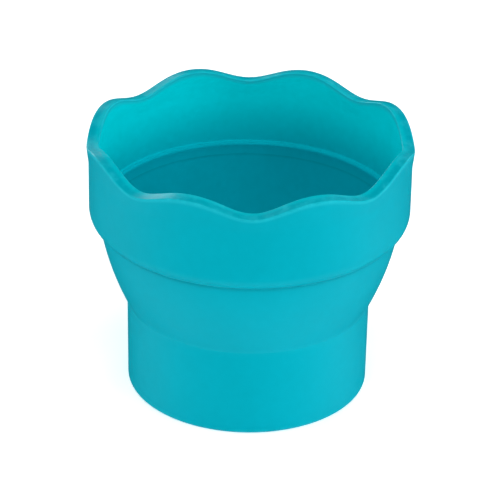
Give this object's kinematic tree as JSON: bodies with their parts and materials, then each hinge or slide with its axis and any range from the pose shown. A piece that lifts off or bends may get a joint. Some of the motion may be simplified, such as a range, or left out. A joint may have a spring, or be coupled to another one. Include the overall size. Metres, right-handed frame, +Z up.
{
  "type": "collapsible cup",
  "caption": "Soft moulded cup with a wavy rim and thick collar; its conical side turns inside out so the base pushes up into the collar.",
  "frame": {"origin": "centre of the foot ring's underside, on the surface the cup stands on", "axes": "+Z up along the cup's axis; a valley of the wavy rim lies on each of the X and Y axes"},
  "size_m": [0.098, 0.098, 0.0829],
  "materials": {
    "cup_plastic": "soft moulded plastic, satin, one turquoise colour all through"
  },
  "bodies": {
    "base": {"foot_ring": "cup_plastic", "floor_disc": "cup_plastic", "base_wall": "cup_plastic", "lower_hinge": "cup_plastic"},
    "collar": {"upper_hinge": "cup_plastic", "shoulder": "cup_plastic", "collar": "cup_plastic", "rim": "cup_plastic"},
    "ring_1": {"fold_ring_1": "cup_plastic"},
    "ring_2": {"fold_ring_2": "cup_plastic"},
    "ring_3": {"fold_ring_3": "cup_plastic"},
    "ring_4": {"fold_ring_4": "cup_plastic"},
    "ring_5": {"fold_ring_5": "cup_plastic"},
    "ring_6": {"fold_ring_6": "cup_plastic"}
  },
  "joints": [
    {"name": "collapse", "type": "slide", "parent": "base", "child": "collar", "axis": [0, 0, -1], "range_m": [0, 0.0528]},
    {"name": "ring_1_slide", "type": "slide", "parent": "base", "child": "ring_1", "axis": [0, 0, -1], "range_m": [0, 0.0053]},
    {"name": "ring_2_slide", "type": "slide", "parent": "base", "child": "ring_2", "axis": [0, 0, -1], "range_m": [0, 0.0109]},
    {"name": "ring_3_slide", "type": "slide", "parent": "base", "child": "ring_3", "axis": [0, 0, -1], "range_m": [0, 0.0171]},
    {"name": "ring_4_slide", "type": "slide", "parent": "base", "child": "ring_4", "axis": [0, 0, -1], "range_m": [0, 0.024]},
    {"name": "ring_5_slide", "type": "slide", "parent": "base", "child": "ring_5", "axis": [0, 0, -1], "range_m": [0, 0.0319]},
    {"name": "ring_6_slide", "type": "slide", "parent": "base", "child": "ring_6", "axis": [0, 0, -1], "range_m": [0, 0.0411]}
  ],
  "couplings": [
    {"joint": "ring_1_slide", "follows": "collapse", "ratio": 0.0988},
    {"joint": "ring_2_slide", "follows": "collapse", "ratio": 0.2061},
    {"joint": "ring_3_slide", "follows": "collapse", "ratio": 0.3235},
    {"joint": "ring_4_slide", "follows": "collapse", "ratio": 0.454},
    {"joint": "ring_5_slide", "follows": "collapse", "ratio": 0.6024},
    {"joint": "ring_6_slide", "follows": "collapse", "ratio": 0.7777}
  ]
}
